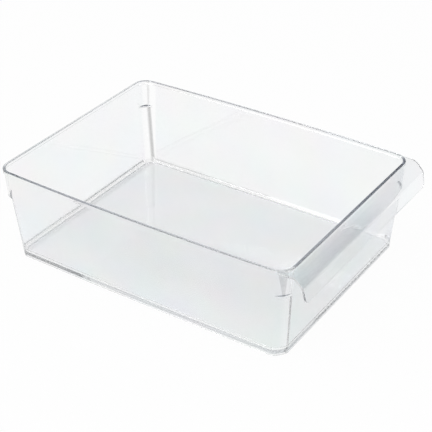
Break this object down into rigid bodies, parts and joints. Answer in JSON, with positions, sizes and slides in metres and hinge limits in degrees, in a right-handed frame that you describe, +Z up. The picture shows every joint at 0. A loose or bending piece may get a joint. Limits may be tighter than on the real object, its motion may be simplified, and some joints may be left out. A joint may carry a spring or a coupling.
{
  "type": "fridge drawer organizer bin",
  "caption": "Clear open rectangular bin with leaning walls, stepped round corners, a beaded rim, a curved pull lip across one short side and a low foot ring.",
  "frame": {"origin": "on the surface that the bin stands on, in the middle of the footprint of the whole part, pull lip included", "axes": "+Z up, +Y from the pull lip towards the back wall, +X along the pull lip, to the right of someone who faces it"},
  "size_m": [0.237, 0.3374, 0.097],
  "materials": {
    "clear_plastic": "polished, clear, faintly cool"
  },
  "bodies": {
    "root": {"tub": "clear_plastic", "rim": "clear_plastic", "pull_handle": "clear_plastic", "foot_ring": "clear_plastic"}
  },
  "joints": []
}
